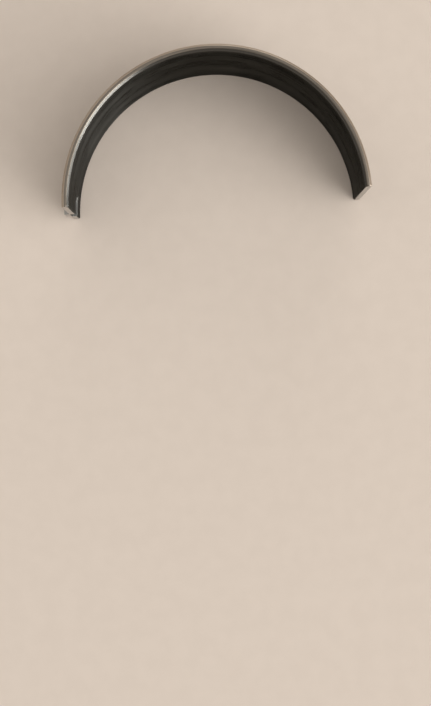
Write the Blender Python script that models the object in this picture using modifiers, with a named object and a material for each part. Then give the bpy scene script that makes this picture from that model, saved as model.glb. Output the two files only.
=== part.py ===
"""Engine bearing shell: one half of a thin-walled split bearing, lying on its side face.

The bearing axis is parallel to +Z, the crown points to +Y and the two joint faces look to -Y.
The origin is the middle of the footprint, on the plane that the shell rests on.
Lengths are in metres.
"""
import math

import bmesh
import bpy

# The shell itself
HOUSING_BORE = 0.0620        # bore that the back fills once the shell is pressed in
FREE_SPREAD = 0.0006         # how much wider than that bore the loose shell springs open
WALL = 0.00145               # steel back and bonded lining together, at the crown
WIDTH = 0.0260               # along the bearing axis

# Edges and the thinned wall beside the joint faces
BACK_CHAMFER = 0.00045       # both edges of the back
RUNNING_CHAMFER = 0.0005     # both edges of the running face
JOINT_CHAMFER = 0.00025      # inner edge of each joint face
RELIEF_DEPTH = 0.00005       # wall taken off the running face at a joint face
RELIEF_LENGTH = 0.0080       # distance from the joint face at which it has run out

# Locating lug, pushed out of the back at one joint face
LUG_WIDTH = 0.0050           # along the bearing axis
LUG_HEIGHT = 0.0010          # above the back
LUG_LENGTH = 0.0044          # from the joint face to where its slope meets the back
LUG_CREST = 0.0014           # part of that length that stands at full height
LUG_CENTRE = 0.0085          # from the lower side face to the lug's middle
LUG_ROUND = 0.00015          # rounding of its edges
NOTCH_SIDE_WALL = 0.0003     # lug left standing beside the notch, on each side

# How finely round surfaces are divided
TURN_STEPS = 240
LUG_ROUND_STEPS = 2

# Overlap that a cutter or a joined block needs past the surface that it works on
OVERCUT = 0.0010
LUG_ROOT = 0.0005            # how deep the lug's block reaches into the wall
WELD = 0.000005              # corners closer than this become one
SHARP_ANGLE = math.radians(30)

# Sprung open, the back keeps the length of half the housing bore on a larger radius,
# so each joint face stops a little above the diameter.
BACK_RADIUS = (HOUSING_BORE + FREE_SPREAD) / 2
RUNNING_RADIUS = BACK_RADIUS - WALL
SWEEP = math.pi * HOUSING_BORE / (2 * BACK_RADIUS)
JOINT_ANGLE = (math.pi - SWEEP) / 2

RIGHT = 1
LEFT = -1
LUG_SIDE = LEFT


def new_collection(name):
    """Collection in the scene that holds one kind of object."""
    collection = bpy.data.collections.new(name)
    bpy.context.scene.collection.children.link(collection)
    return collection


def at_joint(side, radius, along):
    """Point seen from a joint face: out along the face, then up along the shell."""
    x = radius * math.cos(JOINT_ANGLE) - along * math.sin(JOINT_ANGLE)
    y = radius * math.sin(JOINT_ANGLE) + along * math.cos(JOINT_ANGLE)
    return (side * x, y)


def surface_radius(radius, along):
    """How far out along the joint face a round surface lies, at a distance above the face."""
    return math.sqrt(radius ** 2 - along ** 2)


def as_mesh(source, name):
    """Mesh of an object as its modifiers or its curve shape it, welded and facing out."""
    bpy.context.view_layer.update()
    shaped = source.evaluated_get(bpy.context.evaluated_depsgraph_get())
    mesh = bpy.data.meshes.new_from_object(shaped)
    mesh.name = name
    work = bmesh.new()
    work.from_mesh(mesh)
    bmesh.ops.remove_doubles(work, verts=work.verts, dist=WELD)
    bmesh.ops.recalc_face_normals(work, faces=work.faces)
    work.to_mesh(mesh)
    work.free()
    return mesh


def block(name, outline, low, high):
    """Hidden solid with an XY outline between two heights, for a Boolean to use."""
    curve = bpy.data.curves.new(name, "CURVE")
    curve.dimensions = "2D"
    curve.fill_mode = "BOTH"
    curve.extrude = (high - low) / 2
    spline = curve.splines.new("POLY")
    spline.points.add(len(outline) - 1)
    spline.use_cyclic_u = True
    for point, (x, y) in zip(spline.points, outline):
        point.co = (x, y, 0, 1)
    guide = bpy.data.objects.new(name + "_outline", curve)
    cutters.objects.link(guide)
    guide.location.z = (low + high) / 2
    solid = bpy.data.objects.new(name, as_mesh(guide, name))
    solid.matrix_world = guide.matrix_world
    cutters.objects.link(solid)
    bpy.data.objects.remove(guide)
    solid.hide_render = True
    solid.display_type = "WIRE"
    return solid


def boolean(target, tool, operation):
    """Cut a solid from the target, or join one to it."""
    modifier = target.modifiers.new(tool.name, "BOOLEAN")
    modifier.operation = operation
    modifier.solver = "EXACT"
    modifier.object = tool


def turned_ring():
    """Full ring turned from the wall's section, with all four edges chamfered."""
    section = [
        (BACK_RADIUS - BACK_CHAMFER, WIDTH),
        (BACK_RADIUS, WIDTH - BACK_CHAMFER),
        (BACK_RADIUS, BACK_CHAMFER),
        (BACK_RADIUS - BACK_CHAMFER, 0),
        (RUNNING_RADIUS + RUNNING_CHAMFER, 0),
        (RUNNING_RADIUS, RUNNING_CHAMFER),
        (RUNNING_RADIUS, WIDTH - RUNNING_CHAMFER),
        (RUNNING_RADIUS + RUNNING_CHAMFER, WIDTH),
    ]
    corners = [(radius, 0, height) for radius, height in section]
    edges = [(index, (index + 1) % len(section)) for index in range(len(section))]
    mesh = bpy.data.meshes.new("bearing_shell_section")
    mesh.from_pydata(corners, edges, [])
    ring = bpy.data.objects.new("bearing_shell", mesh)
    parts.objects.link(ring)
    screw = ring.modifiers.new("turn", "SCREW")
    screw.axis = "Z"
    screw.angle = 2 * math.pi
    screw.steps = TURN_STEPS
    screw.render_steps = TURN_STEPS
    screw.use_merge_vertices = True
    screw.merge_threshold = WELD
    turned = as_mesh(ring, "bearing_shell_ring")
    ring.modifiers.clear()
    ring.data = turned
    return ring


def relieve_wall(mesh):
    """Bore the running face a little wider towards both joint faces."""
    middle_of_wall = (BACK_RADIUS + RUNNING_RADIUS) / 2
    for vertex in mesh.vertices:
        radius = math.hypot(vertex.co.x, vertex.co.y)
        if radius > middle_of_wall:
            continue
        angle = math.atan2(vertex.co.y, abs(vertex.co.x))
        along = (angle - JOINT_ANGLE) * RUNNING_RADIUS
        share = min(1, max(0, 1 - along / RELIEF_LENGTH))
        widened = 1 + RELIEF_DEPTH * share / radius
        vertex.co.x *= widened
        vertex.co.y *= widened


def lug_block():
    """Block of the locating lug: a short crest at the joint face, then a slope to the back."""
    crest = BACK_RADIUS + LUG_HEIGHT
    foot = surface_radius(BACK_RADIUS, LUG_LENGTH)
    fall = (crest - foot) / (LUG_LENGTH - LUG_CREST)
    buried = LUG_LENGTH + LUG_ROOT / fall
    outline = [
        at_joint(LUG_SIDE, BACK_RADIUS - LUG_ROOT, -OVERCUT),
        at_joint(LUG_SIDE, crest, -OVERCUT),
        at_joint(LUG_SIDE, crest, LUG_CREST),
        at_joint(LUG_SIDE, foot - LUG_ROOT, buried),
    ]
    lug = block("lug_block", outline, LUG_CENTRE - LUG_WIDTH / 2, LUG_CENTRE + LUG_WIDTH / 2)
    bevel = lug.modifiers.new("rounded_edges", "BEVEL")
    bevel.width = LUG_ROUND
    bevel.segments = LUG_ROUND_STEPS
    return lug


def parting_cutter():
    """Everything below the two joint faces, which open slightly upward from the axis."""
    reach = BACK_RADIUS + LUG_HEIGHT + OVERCUT
    outline = [
        (0, 0),
        at_joint(RIGHT, reach, 0),
        (reach, -reach),
        (-reach, -reach),
        at_joint(LEFT, reach, 0),
    ]
    return block("parting_cutter", outline, -OVERCUT, WIDTH + OVERCUT)


def chamfer_cutter(side):
    """Takes the inner edge off a joint face, along the whole width."""
    edge = RUNNING_RADIUS + RELIEF_DEPTH
    outline = [
        at_joint(side, edge - OVERCUT, -OVERCUT),
        at_joint(side, edge + JOINT_CHAMFER + OVERCUT, -OVERCUT),
        at_joint(side, edge - OVERCUT, JOINT_CHAMFER + OVERCUT),
    ]
    name = "chamfer_cutter_right" if side == RIGHT else "chamfer_cutter_left"
    return block(name, outline, -OVERCUT, WIDTH + OVERCUT)


def notch_cutter():
    """Hollow that pushing the lug out leaves in the running face, as deep as the lug is high."""
    floor = RUNNING_RADIUS + LUG_HEIGHT
    lip = surface_radius(RUNNING_RADIUS, LUG_LENGTH)
    fall = (floor - lip) / (LUG_LENGTH - LUG_CREST)
    outline = [
        at_joint(LUG_SIDE, RUNNING_RADIUS - OVERCUT, -OVERCUT),
        at_joint(LUG_SIDE, floor, -OVERCUT),
        at_joint(LUG_SIDE, floor, LUG_CREST),
        at_joint(LUG_SIDE, lip - OVERCUT, LUG_LENGTH + OVERCUT / fall),
    ]
    half_width = LUG_WIDTH / 2 - NOTCH_SIDE_WALL
    return block("notch_cutter", outline, LUG_CENTRE - half_width, LUG_CENTRE + half_width)


def bearing_metal():
    """Satin grey of the steel back and the lining."""
    material = bpy.data.materials.new("bearing_metal")
    material.use_nodes = True
    shader = material.node_tree.nodes["Principled BSDF"]
    shader.inputs["Base Color"].default_value = (0.27, 0.26, 0.24, 1)
    shader.inputs["Metallic"].default_value = 1
    shader.inputs["Roughness"].default_value = 0.32
    return material


def bearing_shell():
    """The half shell: ring and lug joined, parted and notched, then set down."""
    shell = turned_ring()
    relieve_wall(shell.data)
    boolean(shell, lug_block(), "UNION")
    boolean(shell, parting_cutter(), "DIFFERENCE")
    boolean(shell, chamfer_cutter(RIGHT), "DIFFERENCE")
    boolean(shell, chamfer_cutter(LEFT), "DIFFERENCE")
    boolean(shell, notch_cutter(), "DIFFERENCE")
    mesh = as_mesh(shell, "bearing_shell")
    shell.modifiers.clear()
    shell.data = mesh
    xs = [vertex.co.x for vertex in mesh.vertices]
    ys = [vertex.co.y for vertex in mesh.vertices]
    shell.location = (-(min(xs) + max(xs)) / 2, -(min(ys) + max(ys)) / 2, 0)
    mesh.shade_smooth()
    mesh.set_sharp_from_angle(angle=SHARP_ANGLE)
    mesh.materials.append(bearing_metal())
    return shell


for leftover in list(bpy.data.objects):
    bpy.data.objects.remove(leftover)
parts = new_collection("engine_bearing_shell")
cutters = new_collection("cutters")
bearing_shell()
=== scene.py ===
# %% [markdown]
# One half of a split engine bearing, seen from straight above while it lies on its side
# face. It is a strip of steel with a thin lining of bearing metal on the hollow side, bent
# to half a circle and machined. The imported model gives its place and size. This script
# builds the same form again with finer divisions and softened edges, and then gives every
# machined surface its own finish.

# %% Load the frame
import math

import bpy
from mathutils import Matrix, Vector


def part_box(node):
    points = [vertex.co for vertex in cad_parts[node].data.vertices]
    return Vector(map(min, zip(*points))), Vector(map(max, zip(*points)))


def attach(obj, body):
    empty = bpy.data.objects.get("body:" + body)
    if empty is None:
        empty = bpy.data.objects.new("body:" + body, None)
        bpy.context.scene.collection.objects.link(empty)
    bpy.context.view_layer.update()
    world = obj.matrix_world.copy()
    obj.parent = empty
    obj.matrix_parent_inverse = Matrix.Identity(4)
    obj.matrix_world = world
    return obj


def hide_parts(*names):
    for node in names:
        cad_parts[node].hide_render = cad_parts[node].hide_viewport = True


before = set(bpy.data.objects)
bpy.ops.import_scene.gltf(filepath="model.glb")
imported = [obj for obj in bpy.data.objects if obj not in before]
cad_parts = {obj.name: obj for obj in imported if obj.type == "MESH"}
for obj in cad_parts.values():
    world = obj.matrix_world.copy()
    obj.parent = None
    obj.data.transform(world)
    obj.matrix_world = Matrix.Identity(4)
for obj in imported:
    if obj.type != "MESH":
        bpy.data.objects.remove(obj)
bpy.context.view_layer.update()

cad_low, cad_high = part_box("bearing_shell")
print("solids in the frame:", list(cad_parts))
print("packed shell, mm:", [round(1000 * (high - low), 2) for low, high in zip(cad_low, cad_high)])

# %% [markdown]
# A loose shell springs open a little. Its back then has a slightly larger radius than the
# housing bore, and its arc stops short of the diameter by a small angle at each joint
# face. All of that follows from a few sizes. The centre of the arc isn't stored in the
# frame, but the crown and the crest of the locating lug fix it.

# %% Driving sizes, in metres
HOUSING_BORE = 0.0620        # bore that the back fills once the shell is pressed in
FREE_SPREAD = 0.0006         # how much wider than that bore the loose shell springs open
WALL = 0.00145               # steel back and lining together
WIDTH = cad_high.z - cad_low.z
LUG_HEIGHT = 0.0010          # above the back

BACK_RADIUS = (HOUSING_BORE + FREE_SPREAD) / 2
RUNNING_RADIUS = BACK_RADIUS - WALL
SWEEP = math.pi * HOUSING_BORE / (2 * BACK_RADIUS)
JOINT_ANGLE = (math.pi - SWEEP) / 2
lug_reach = (BACK_RADIUS + LUG_HEIGHT) * math.cos(JOINT_ANGLE)
AXIS = Vector((cad_low.x + lug_reach, cad_high.y - BACK_RADIUS, cad_low.z))
print("bearing axis at, mm:", [round(1000 * value, 3) for value in AXIS])

# %% [markdown]
# The wall's section has a chamfer on each of its four corners. A machined chamfer is
# never razor sharp, and light runs along its edges because they are slightly round. The
# corners could be bevelled afterwards, but the section is drawn once and swept, so it is
# cheaper to round it here: each corner becomes a short arc of a few points. One more point
# on the inner chamfer marks the seam, where the steel ends and the bonded lining begins.

# %% Section of the wall
BACK_CHAMFER = 0.00045       # both edges of the back
RUNNING_CHAMFER = 0.0005     # both edges of the running face
CORNER_ROUND = 0.00007       # radius at both corners of a chamfer
CORNER_STEPS = 3             # faces round one such corner
LINING = 0.0004              # thickness of the bonded metal


def rounded_corner(before, corner, after):
    """Points of a small arc that replaces a corner, tangent to both of its sides."""
    to_before = (Vector(before) - Vector(corner)).normalized()
    to_after = (Vector(after) - Vector(corner)).normalized()
    half_angle = to_before.angle(to_after) / 2
    setback = CORNER_ROUND / math.tan(half_angle)
    centre = Vector(corner) + (to_before + to_after).normalized() * CORNER_ROUND / math.sin(half_angle)
    start = Vector(corner) + to_before * setback - centre
    finish = Vector(corner) + to_after * setback - centre
    points = []
    for step in range(CORNER_STEPS + 1):
        share = step / CORNER_STEPS
        spoke = (start * (1 - share) + finish * share).normalized() * CORNER_ROUND
        points.append(tuple(centre + spoke))
    return points


def chamfered_edge(surface, chamfer, inward, seam):
    """Points from the upper side face down a chamfer to a round surface, as (radius, height).

    Inward is the sign of the way into the wall, and seam is how deep the extra point lies.
    """
    middle = (surface + inward * WALL / 2, WIDTH)
    top = (surface + inward * chamfer, WIDTH)
    bottom = (surface, WIDTH - chamfer)
    wall = (surface, WIDTH / 2)
    on_seam = (surface + inward * seam, WIDTH - chamfer + seam)
    return rounded_corner(middle, top, bottom) + [on_seam] + rounded_corner(top, bottom, wall)


back_edge = chamfered_edge(BACK_RADIUS, BACK_CHAMFER, -1, BACK_CHAMFER / 2)
running_edge = chamfered_edge(RUNNING_RADIUS, RUNNING_CHAMFER, 1, LINING)
print("points in one rounded chamfer:", len(back_edge))

# %% [markdown]
# Near one joint face a punch has pushed a tab of the wall outward. It leaves a locating
# lug on the back and a hollow of the same depth in the running face. A Boolean cut would
# do it, but it breaks up the faces around it and they shade badly on bright metal. Here
# the lug is instead a rise written as a formula, and the grid of the shell gets extra
# rows and stations where that rise is steep.

# %% The locating lug as a rise over the plain surfaces
LUG_WIDTH = 0.0050           # along the bearing axis
LUG_LENGTH = 0.0044          # from the joint face to where its slope meets the back
LUG_CREST = 0.0014           # part of that length that stands at full height
LUG_CENTRE = 0.0085          # from the lower side face to the lug's middle
LUG_FLANK = 0.00014          # width in which a flank climbs from the wall to the crest
NOTCH_SIDE_WALL = 0.0003     # lug left standing beside the hollow, on each side


def ramp(value, start, finish):
    """0 before start, 1 after finish and a smooth step between them."""
    share = min(1, max(0, (value - start) / (finish - start)))
    return share * share * (3 - 2 * share)


def rise(along, height, inset):
    """How far the lug, or its hollow inset from both sides, stands out at a place on the wall."""
    half_width = LUG_WIDTH / 2 - inset
    across = ramp(half_width - abs(height - LUG_CENTRE), 0, LUG_FLANK)
    slope = min(1, max(0, (LUG_LENGTH - along) / (LUG_LENGTH - LUG_CREST)))
    return LUG_HEIGHT * across * slope


print("lug at the joint face, mm:", round(1000 * rise(0, LUG_CENTRE, 0), 3))

# %% [markdown]
# The bore is not a perfect half circle either: near both joint faces the wall is thinned
# by a few hundredths of a millimetre, so that two halves that meet a little out of line
# never scrape the journal. The inner edge of each joint face is broken by a tiny chamfer,
# and its other edges lose only their burr.

# %% Wall thinned towards the joint faces
RELIEF_DEPTH = 0.00005       # wall taken off the running face at a joint face
RELIEF_LENGTH = 0.0080       # distance from the joint face at which it has run out
JOINT_CHAMFER = 0.00025      # inner edge of each joint face
EDGE_BREAK = 0.00006         # rounding of its other edges


def thinned(along):
    """How far the running face lies outside its circle, at a distance from a joint face."""
    relief = RELIEF_DEPTH * min(1, max(0, 1 - along / RELIEF_LENGTH))
    broken_edge = max(0, JOINT_CHAMFER - along)
    return relief + broken_edge


def eased(along):
    """How far the other edges of a joint face are rounded back, as a quarter circle."""
    if along >= EDGE_BREAK:
        return 0
    return EDGE_BREAK - math.sqrt(EDGE_BREAK ** 2 - (EDGE_BREAK - along) ** 2)


print("wall at a joint face, mm:", round(1000 * (WALL - thinned(0)), 3))

# %% [markdown]
# Rows run down the width. They are even, apart from five more on each flank of the lug and
# of its hollow, where the surface turns sharply. An even row that would almost touch one
# of those is left out, because a sliver of a face shades badly.

# %% Rows across the width
ROW_STEP = 0.0010
CLOSEST_ROWS = ROW_STEP / 4
FLANK_SHARES = (0, 0.25, 0.5, 0.75, 1)     # places of the rows across one flank


def wall_rows():
    """Heights between the chamfers, from top to bottom."""
    flanks = []
    for inset in (0, NOTCH_SIDE_WALL):
        for share in FLANK_SHARES:
            offset = LUG_WIDTH / 2 - inset - share * LUG_FLANK
            flanks += [LUG_CENTRE + offset, LUG_CENTRE - offset]
    span = WIDTH - 2 * ROW_STEP
    count = round(span / ROW_STEP)
    plain = [ROW_STEP + index * span / count for index in range(count + 1)]
    clear = [height for height in plain if min(abs(height - flank) for flank in flanks) > CLOSEST_ROWS]
    return sorted(flanks + clear, reverse=True)


ROWS = wall_rows()
print("rows between the chamfers:", len(ROWS))

# %% [markdown]
# Stations run round the arc. Even steps of under one degree keep the reflection in the
# running face free of facets. At the joint faces they crowd together to follow the small
# chamfer and the eased edges. The start and the end of the lug's slope get a station each,
# unless an even one already stands close enough, as it does at the start.

# %% Stations round the arc
STATION_STEP = 0.00045
CLOSEST_STATIONS = STATION_STEP / 8
EASING_PARTS = (8, 3, 1)     # stations at an eighth, a third and the whole of the edge break
LENGTH = SWEEP * BACK_RADIUS


def arc_stations():
    """Distances along the back from the left joint face to the right one."""
    count = round(LENGTH / STATION_STEP)
    near_joint = [0] + [EDGE_BREAK / part for part in EASING_PARTS] + [JOINT_CHAMFER]
    far_joint = [LENGTH - along for along in reversed(near_joint)]
    plain = [index * LENGTH / count for index in range(1, count)]
    slope_ends = [LUG_CREST, LUG_LENGTH]
    kept = list(near_joint)
    for place in sorted(plain + slope_ends):
        if place - kept[-1] > CLOSEST_STATIONS and far_joint[0] - place > CLOSEST_STATIONS:
            kept.append(place)
    return kept + far_joint


STATIONS = arc_stations()
print("stations round the arc:", len(STATIONS))

# %% [markdown]
# The shell is two sheets, the back and the running face. A sheet is a column of points
# repeated at every station: down one chamfer, down the wall and down the other chamfer.
# The lug, the thinned wall and the eased edges only move points of that column, so both
# sheets keep the same grid and can be joined point to point.

# %% Two columns of points at each station
SIDE_ZONE = 0.75 * ROW_STEP     # points this near a side face belong to its chamfer


def column_at(station, surface, edge, on_back):
    """One sheet's points at a station, from the upper side face to the lower one."""
    turn = station / BACK_RADIUS
    from_left = turn * surface
    along = min(turn, SWEEP - turn) * surface
    lower_edge = [(radius, WIDTH - height) for radius, height in reversed(edge)]
    column = edge + [(surface, height) for height in ROWS] + lower_edge
    placed = []
    for radius, height in column:
        if on_back:
            radius += rise(from_left, height, 0) - eased(along)
        else:
            radius += rise(from_left, height, NOTCH_SIDE_WALL) + thinned(along)
        if height > WIDTH - SIDE_ZONE:
            height -= eased(along)
        if height < SIDE_ZONE:
            height += eased(along)
        angle = JOINT_ANGLE + turn
        placed.append((-radius * math.cos(angle), radius * math.sin(angle), height))
    return placed


back = [column_at(station, BACK_RADIUS, back_edge, True) for station in STATIONS]
running = [column_at(station, RUNNING_RADIUS, running_edge, False) for station in STATIONS]
COLUMN = len(back[0])
EDGE_POINTS = len(back_edge)
print("points in a column:", COLUMN, "of which in each chamfer:", EDGE_POINTS)

# %% [markdown]
# Each face is kept with the finish it will get and with its place on a flat map in metres:
# along the arc and across the section. The finishes need that map, because turned and
# brushed lines follow the arc on every surface. An unwrap could be computed afterwards,
# but the grid already knows both distances exactly.

# %% Keep each face with its finish and its place on the flat map
FINISHES = ["steel_back", "running_lining", "turned_chamfers", "side_faces", "broached_joints"]
BACK_START = 0
RUNNING_START = len(back) * COLUMN
corners = [point for column in back + running for point in column]
faces, face_finishes, face_maps = [], [], []


def corner_index(sheet_start, station, row):
    """Number of the corner at a station and row of a sheet."""
    return sheet_start + station * COLUMN + row


def add_face(indices, finish, flat, flip):
    """Keep a face, turned over where its sheet looks the other way."""
    if flip:
        indices.reverse()
        flat.reverse()
    faces.append(indices)
    face_finishes.append(FINISHES.index(finish))
    face_maps.append(flat)


print("corners in both sheets:", len(corners))

# %% [markdown]
# The first and last few points of a column lie on its chamfers. On the back the whole
# chamfer is turned steel. On the running side the steel part of the chamfer ends at the
# seam, and the lining's finish starts there.

# %% Faces of the two sheets
MIDDLE_STATION = len(STATIONS) // 2
STEEL_POINTS = CORNER_STEPS + 2


def row_distances(column):
    """Distance down a column to each of its points."""
    distances = [0]
    for first, second in zip(column, column[1:]):
        distances.append(distances[-1] + (Vector(second) - Vector(first)).length)
    return distances


def sheet_faces(start, column, edge_finish, edge_points, plain_finish, flip):
    """Faces of one sheet; its edge finish covers the first and last few points."""
    across = row_distances(column)
    for station, (left, right) in enumerate(zip(STATIONS, STATIONS[1:])):
        for row in range(COLUMN - 1):
            on_edge = row < edge_points - 1 or row > COLUMN - edge_points - 1
            indices = [
                corner_index(start, station, row),
                corner_index(start, station + 1, row),
                corner_index(start, station + 1, row + 1),
                corner_index(start, station, row + 1),
            ]
            flat = [
                (left, across[row]),
                (right, across[row]),
                (right, across[row + 1]),
                (left, across[row + 1]),
            ]
            add_face(indices, edge_finish if on_edge else plain_finish, flat, flip)


sheet_faces(BACK_START, back[MIDDLE_STATION], "turned_chamfers", EDGE_POINTS, "steel_back", False)
sheet_faces(RUNNING_START, running[MIDDLE_STATION], "side_faces", STEEL_POINTS, "running_lining", True)
print("faces in both sheets:", len(faces))

# %% [markdown]
# Four narrow strips close the shell: the two side faces, which the shell can lie on, and
# the two joint faces, which meet the other half of the bearing. Each is one face wide,
# because the sheets on both sides of it have the same points.

# %% Close the side faces and the joint faces
def side_faces(row, flip):
    """Strip between the two sheets along one side face."""
    for station, (left, right) in enumerate(zip(STATIONS, STATIONS[1:])):
        indices = [
            corner_index(BACK_START, station, row),
            corner_index(RUNNING_START, station, row),
            corner_index(RUNNING_START, station + 1, row),
            corner_index(BACK_START, station + 1, row),
        ]
        flat = [(left, -WALL), (left, 0), (right, 0), (right, -WALL)]
        add_face(indices, "side_faces", flat, flip)


def joint_face(station, flip):
    """Strip between the two sheets at one end of the arc, mapped by radius and height."""
    for row in range(COLUMN - 1):
        pairs = [(BACK_START, row), (BACK_START, row + 1), (RUNNING_START, row + 1), (RUNNING_START, row)]
        indices = [corner_index(start, station, place) for start, place in pairs]
        flat = [(math.hypot(*corners[index][:2]), corners[index][2]) for index in indices]
        add_face(indices, "broached_joints", flat, flip)


side_faces(0, False)
side_faces(COLUMN - 1, True)
joint_face(0, False)
joint_face(len(STATIONS) - 1, True)
print("faces in all:", len(faces))

# %% [markdown]
# The mesh is one closed skin. Smooth shading alone would blur the chamfers, so edges that
# turn by more than the sharp angle stay crisp, and weighted normals let the large flat
# faces rule over the tiny ones at each rounded corner.

# %% Make the shell an object
SHARP_ANGLE = math.radians(32)
FLAT_MAP = "brushing"

shell_mesh = bpy.data.meshes.new("bearing_shell_fine")
shell_mesh.from_pydata(corners, [], faces)
flat_places = [place for flat in face_maps for place in flat]
flat_map = shell_mesh.uv_layers.new(name=FLAT_MAP)
flat_map.uv.foreach_set("vector", [value for place in flat_places for value in place])
shell_mesh.polygons.foreach_set("material_index", face_finishes)
shell_mesh.validate()
shell_mesh.shade_smooth()
shell_mesh.set_sharp_from_angle(angle=SHARP_ANGLE)

shell = bpy.data.objects.new("bearing_shell_fine", shell_mesh)
bpy.context.scene.collection.objects.link(shell)
shell.location = AXIS
weighted = shell.modifiers.new("even_shading", "WEIGHTED_NORMAL")
weighted.keep_sharp = True
print("fine shell has", len(shell_mesh.vertices), "corners and", len(shell_mesh.polygons), "faces")

# %% [markdown]
# Turned, brushed and bored metal all have one thing in common: fine lines in the direction
# in which the tool ran. An image of scratches would repeat and stretch. Noise that is read
# from the flat map, long in one direction and short in the other, gives lines at their
# real size everywhere.

# %% A new material, and a noise with a grain
def principled(name, settings):
    """New material with its Principled shader's fixed values set."""
    material = bpy.data.materials.new(name)
    material.use_nodes = True
    shader = material.node_tree.nodes["Principled BSDF"]
    for socket, value in settings.items():
        shader.inputs[socket].default_value = value
    return material, material.node_tree.nodes, material.node_tree.links, shader


def noise_on_map(nodes, links, along, across, detail):
    """Noise on the flat map with features of the given size in metres each way."""
    flat = nodes.new("ShaderNodeUVMap")
    flat.uv_map = FLAT_MAP
    mapping = nodes.new("ShaderNodeMapping")
    mapping.inputs["Scale"].default_value = (1 / along, 1 / across, 1)
    noise = nodes.new("ShaderNodeTexNoise")
    noise.noise_dimensions = "2D"
    noise.inputs["Scale"].default_value = 1
    noise.inputs["Detail"].default_value = detail
    links.new(flat.outputs["UV"], mapping.inputs["Vector"])
    links.new(mapping.outputs["Vector"], noise.inputs["Vector"])
    return noise.outputs["Fac"]


print("the grain is read from the map called", FLAT_MAP)

# %% [markdown]
# A pattern of noise hardly ever reaches 0 or 1, and most of it lies in a middle band. That
# band is stretched over the wanted range, for a tone or for a roughness, so the two ends
# of the range are really seen.

# %% Patterns into tones and roughness
NOISE_LOW = 0.35
NOISE_HIGH = 0.65


def combined(nodes, links, first, second, share):
    """Two patterns in one, with the given share of the second."""
    mix = nodes.new("ShaderNodeMix")
    mix.inputs["Factor"].default_value = share
    links.new(first, mix.inputs["A"])
    links.new(second, mix.inputs["B"])
    return mix.outputs["Result"]


def spread(nodes, links, pattern, low, high):
    """A pattern spread over a range of plain numbers."""
    span = nodes.new("ShaderNodeMapRange")
    span.inputs["From Min"].default_value = NOISE_LOW
    span.inputs["From Max"].default_value = NOISE_HIGH
    span.inputs["To Min"].default_value = low
    span.inputs["To Max"].default_value = high
    links.new(pattern, span.inputs["Value"])
    return span.outputs["Result"]


def two_tones(nodes, links, pattern, first, second):
    """Colour that drifts between two tones."""
    tones = nodes.new("ShaderNodeValToRGB")
    tones.color_ramp.elements[0].position = NOISE_LOW
    tones.color_ramp.elements[1].position = NOISE_HIGH
    tones.color_ramp.elements[0].color = (*first, 1)
    tones.color_ramp.elements[1].color = (*second, 1)
    links.new(pattern, tones.inputs["Fac"])
    return tones.outputs["Color"]


print("noise is stretched from the band", (NOISE_LOW, NOISE_HIGH))

# %% [markdown]
# The lines also have depth, a few thousandths of a millimetre. Far too fine to model, they
# are a bump. Real tool marks are finer still, and what an eye sees of those is that a
# highlight stretches across them. The shader's anisotropy does that, once it is told in
# which direction the lines run.

# %% Grooves and the direction of the tool
ALONG_THE_ARC = {"Anisotropic Rotation": 0.25}


def grooves(nodes, links, pattern, depth, shader):
    """Bump from a pattern, in metres of real depth."""
    bump = nodes.new("ShaderNodeBump")
    bump.inputs["Distance"].default_value = depth
    links.new(pattern, bump.inputs["Height"])
    links.new(bump.outputs["Normal"], shader.inputs["Normal"])


def follow_the_tool(nodes, links, shader):
    """Take the direction of the highlights from the flat map."""
    tangent = nodes.new("ShaderNodeTangent")
    tangent.direction_type = "UV_MAP"
    tangent.uv_map = FLAT_MAP
    links.new(tangent.outputs["Tangent"], shader.inputs["Tangent"])


print("a quarter turn for lines that run along the arc:", ALONG_THE_ARC)

# %% [markdown]
# One recipe serves all five finishes, because they differ only in tone, gloss and the size
# of their marks. It has three layers: fine lines for the surface, broad bands for the
# unevenness that an eye picks up from further off, and soft smudges from handling, which
# show in the gloss alone.

# %% One recipe for machined metal
BAND_DETAIL = 4
LINE_DETAIL = 3
SMUDGE_DETAIL = 2
SMUDGE_SIZE = (0.007, 0.005)
LINES_IN_TONE = 0.4
LINES_IN_GLOSS = 0.3
SMUDGES_IN_GLOSS = 0.35
LINES_IN_GROOVES = 0.5


def metal(name, settings, tones, band, line, roughness, groove_depth):
    """Metal with two tones, bands and lines of the given sizes, and a range of roughness."""
    material, nodes, links, shader = principled(name, {"Metallic": 1, **settings})
    bands = noise_on_map(nodes, links, *band, BAND_DETAIL)
    lines = noise_on_map(nodes, links, *line, LINE_DETAIL)
    smudges = noise_on_map(nodes, links, *SMUDGE_SIZE, SMUDGE_DETAIL)
    tone = combined(nodes, links, bands, lines, LINES_IN_TONE)
    clean_gloss = combined(nodes, links, bands, lines, LINES_IN_GLOSS)
    gloss = combined(nodes, links, clean_gloss, smudges, SMUDGES_IN_GLOSS)
    depth = combined(nodes, links, bands, lines, LINES_IN_GROOVES)
    links.new(two_tones(nodes, links, tone, *tones), shader.inputs["Base Color"])
    links.new(spread(nodes, links, gloss, *roughness), shader.inputs["Roughness"])
    grooves(nodes, links, depth, groove_depth, shader)
    follow_the_tool(nodes, links, shader)
    print("finish", name, "with lines about", round(1000 * min(line), 2), "mm apart")
    return material


# %% [markdown]
# The back is the steel strip as it was rolled and then brushed. It is a middling grey
# with a soft sheen, and its lines run round the arc.

# %% Steel back
steel_back = metal(
    "steel_back",
    {"Anisotropic": 0.6, **ALONG_THE_ARC},
    tones=((0.245, 0.236, 0.218), (0.305, 0.294, 0.273)),
    band=(0.12, 0.0008),
    line=(0.030, 0.00014),
    roughness=(0.32, 0.40),
    groove_depth=0.000003,
)
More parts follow.
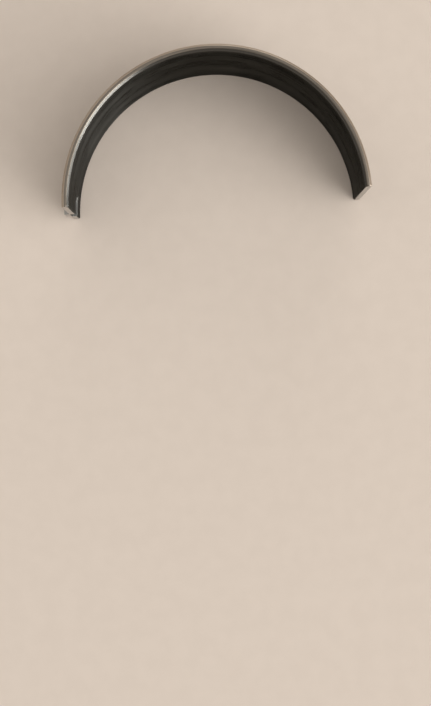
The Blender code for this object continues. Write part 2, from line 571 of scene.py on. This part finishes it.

# %% [markdown]
# The running face is bored to size in bearing metal. It is smoother than the steel, and
# its dark tones are painted shade: the bearing metal itself is a lighter grey, and the base
# colour is darkened to stand for the shade that lies in the hollow side. Each turn of the
# boring tool leaves one line round the whole arc, so its lines and bands are much longer
# than those of the back. The low specular tint is painted shade as well: it holds back the
# mirror-like brightness that metal gets at a glancing view, so the face stays dark from above.

# %% Running lining
running_lining = metal(
    "running_lining",
    # dark tones and low specular tint: painted shade for the hollow side
    {"Anisotropic": 0.80, **ALONG_THE_ARC, "Specular Tint": (0.20, 0.20, 0.19, 1)},
    tones=((0.076, 0.075, 0.069), (0.130, 0.127, 0.118)),
    band=(0.30, 0.0030),
    line=(0.10, 0.00018),
    roughness=(0.24, 0.35),
    groove_depth=0.000006,
)

# %% [markdown]
# The outer chamfers are turned after the strip is bent, so they are fresh metal, the
# brightest on the shell, with a slightly warm tone.

# %% Turned chamfers
turned_chamfers = metal(
    "turned_chamfers",
    {"Anisotropic": 0.4, **ALONG_THE_ARC},
    tones=((0.362, 0.312, 0.258), (0.462, 0.405, 0.340)),
    band=(0.020, 0.0005),
    line=(0.010, 0.00015),
    roughness=(0.26, 0.36),
    groove_depth=0.000003,
)

# %% [markdown]
# The two side faces, on which the shell can lie, are milled to width. They are flat, and
# duller and darker than the chamfers beside them. The steel part of the inner chamfer has
# the same finish.

# %% Side faces
side_metal = metal(
    "side_faces",
    {"Anisotropic": 0.4, **ALONG_THE_ARC},
    tones=((0.113, 0.097, 0.080), (0.187, 0.162, 0.134)),
    band=(0.012, 0.0004),
    line=(0.008, 0.00012),
    roughness=(0.30, 0.42),
    groove_depth=0.000004,
)

# %% [markdown]
# The joint faces are broached flat. The tool runs along the width, so its lines go from
# one side face to the other, and the highlights need no quarter turn.

# %% Broached joint faces
broached_joints = metal(
    "broached_joints",
    {"Anisotropic": 0.4},
    tones=((0.33, 0.318, 0.298), (0.43, 0.415, 0.392)),
    band=(0.0004, 0.010),
    line=(0.00008, 0.006),
    roughness=(0.26, 0.36),
    groove_depth=0.000004,
)

# %% [markdown]
# The finishes go on in the order in which the faces count them. The fine shell then stands
# for the imported one and stays with its body.

# %% Put the finishes on
for finish in (steel_back, running_lining, turned_chamfers, side_metal, broached_joints):
    shell_mesh.materials.append(finish)
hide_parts("bearing_shell")
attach(shell, "root")
print("finishes in the order of the faces:", [finish.name for finish in shell_mesh.materials] == FINISHES)

# %% [markdown]
# The shell lies on a plain pale floor. Its warm light tone has hardly any texture, so that
# nothing competes with the metal. It has no sheen: with one, a low view towards the window
# would wash the far floor out to white. The floor is round, because a corner would show
# against the room in such a view.

# %% Floor
FLOOR_RADIUS = 1.4
FLOOR_SIDES = 120
FLOOR_SHINE = {"Roughness": 0.8, "Specular IOR Level": 0}
FLOOR_TONES = ((0.628, 0.549, 0.478), (0.642, 0.562, 0.490))
GRAIN_SCALE = 700            # grains across the whole floor

floor_corners = []
for side in range(FLOOR_SIDES):
    angle = 2 * math.pi * side / FLOOR_SIDES
    floor_corners.append((FLOOR_RADIUS * math.cos(angle), FLOOR_RADIUS * math.sin(angle), 0))
floor_mesh = bpy.data.meshes.new("pale_floor")
floor_mesh.from_pydata(floor_corners, [], [range(FLOOR_SIDES)])
floor = bpy.data.objects.new("pale_floor", floor_mesh)
bpy.context.scene.collection.objects.link(floor)
floor.location.z = cad_low.z
floor_material, nodes, links, shader = principled("pale_floor", FLOOR_SHINE)
grain = nodes.new("ShaderNodeTexNoise")
grain.inputs["Scale"].default_value = GRAIN_SCALE
links.new(two_tones(nodes, links, grain.outputs["Fac"], *FLOOR_TONES), shader.inputs["Base Color"])
floor_mesh.materials.append(floor_material)
print("floor at height", floor.location.z, "and", 2 * FLOOR_RADIUS, "m wide")

# %% [markdown]
# Metal shows what is around it, so its look depends on the lamps as much as on its finish.
# A wide window stands low at the right, a little towards the open side of the arc. It
# lights the left end of the hollow side and draws a line along the inner chamfer there.
# Nearer the open side it has a brighter pane, so that line is brightest half-way between
# the crown and the left end and fades both ways. A large soft panel high at the right
# gives the shadows their direction, a weaker one high at the left keeps them open, and a
# small dim one behind the crown gives the outer chamfer its edge.

# %% Lights
AIM = Vector((0, 0, 0.01))     # just above the middle of the footprint


def panel(name, bearing, distance, height, size, power, colour):
    """Soft lamp aimed at the shell; its bearing is in degrees, clockwise from the crown."""
    data = bpy.data.lights.new(name, "AREA")
    data.shape = "RECTANGLE"
    data.size, data.size_y = size
    data.energy = power
    data.color = colour
    lamp = bpy.data.objects.new(name, data)
    bpy.context.scene.collection.objects.link(lamp)
    angle = math.radians(bearing)
    lamp.location = (distance * math.sin(angle), distance * math.cos(angle), height)
    lamp.rotation_euler = (AIM - lamp.location).to_track_quat("-Z", "Y").to_euler()
    print("lamp", name, "at", [round(value, 3) for value in lamp.location])


panel("high_right", 115, distance=1.3, height=2.1, size=(2.4, 2.4), power=32, colour=(1, 0.985, 0.975))
panel("low_window", 118, distance=5.0, height=1.05, size=(5.75, 1.1), power=188, colour=(1, 0.99, 0.98))
panel("bright_pane", 127, distance=4.9, height=1.05, size=(2.4, 1.1), power=81, colour=(1, 0.99, 0.98))
panel("high_left", 305, distance=1.0, height=2.2, size=(2.4, 2.4), power=12, colour=(1, 0.97, 0.94))
panel("back_wall", 15, distance=2.0, height=0.6, size=(1.0, 1.0), power=7, colour=(1, 0.97, 0.94))

# %% [markdown]
# The rest of the light comes from the room. Near the floor the room is about as pale as
# the floor itself, so a low view has no dark wall behind the shell. Overhead it is a
# darker grey, so that it fills the shadows without washing them out.

# %% Room
NEAR_FLOOR = (0.68, 0.595, 0.525, 1)
OVERHEAD = (0.34, 0.325, 0.305, 1)
PALE_UP_TO = 0.02            # upward part of a direction, 0 when level and 1 straight up
GREY_FROM = 0.55

world = bpy.data.worlds.new("soft_room")
bpy.context.scene.world = world
world.use_nodes = True
nodes, links = world.node_tree.nodes, world.node_tree.links
direction = nodes.new("ShaderNodeTexCoord")
direction_parts = nodes.new("ShaderNodeSeparateXYZ")
height_tones = nodes.new("ShaderNodeValToRGB")
height_tones.color_ramp.interpolation = "EASE"
height_tones.color_ramp.elements[0].position = PALE_UP_TO
height_tones.color_ramp.elements[0].color = NEAR_FLOOR
height_tones.color_ramp.elements[1].position = GREY_FROM
height_tones.color_ramp.elements[1].color = OVERHEAD
links.new(direction.outputs["Generated"], direction_parts.inputs["Vector"])
links.new(direction_parts.outputs["Z"], height_tones.inputs["Fac"])
links.new(height_tones.outputs["Color"], nodes["Background"].inputs["Color"])
print("room from", NEAR_FLOOR[:3], "near the floor to", OVERHEAD[:3], "overhead")

# %% [markdown]
# The camera looks straight down. Its place follows from the photograph: how many pixels
# the arc of the back measures, where its centre lies in the picture and by how much the
# crown is turned. The lower edge of the shell is drawn in by perspective, which gives the
# height of the camera over the upper side face.

# %% Camera
PHOTO_WIDTH, PHOTO_HEIGHT = 431, 706
ARC_CENTRE_PIXEL = (217.0, 198.9)      # from the left and from the top
ARC_RADIUS_PIXELS = 155.7              # of the back
CAMERA_OVER_RIM = 0.290                # metres above the upper side face
CROWN_TURN = math.radians(3.9)         # how far the crown leans to the left
SENSOR = 36                            # millimetres
NEAREST_SEEN = 0.01                    # metres

metres_per_pixel = BACK_RADIUS / ARC_RADIUS_PIXELS
right_of_axis = (PHOTO_WIDTH / 2 - ARC_CENTRE_PIXEL[0]) * metres_per_pixel
above_axis = (ARC_CENTRE_PIXEL[1] - PHOTO_HEIGHT / 2) * metres_per_pixel
turn = -CROWN_TURN
camera_data = bpy.data.cameras.new("camera")
camera_data.sensor_width = SENSOR
camera_data.lens = SENSOR * CAMERA_OVER_RIM / (PHOTO_HEIGHT * metres_per_pixel)
camera_data.clip_start = NEAREST_SEEN
camera = bpy.data.objects.new("camera", camera_data)
bpy.context.scene.collection.objects.link(camera)
camera.location = (
    AXIS.x + right_of_axis * math.cos(turn) - above_axis * math.sin(turn),
    AXIS.y + right_of_axis * math.sin(turn) + above_axis * math.cos(turn),
    cad_high.z + CAMERA_OVER_RIM,
)
camera.rotation_euler = (0, 0, turn)
bpy.context.scene.camera = camera
bpy.context.scene.view_settings.view_transform = "Standard"
print("lens, mm:", round(camera_data.lens, 1))

# %% [markdown]
# The fine shell must be as large as the imported one.

# %% Finish
bpy.context.view_layer.update()
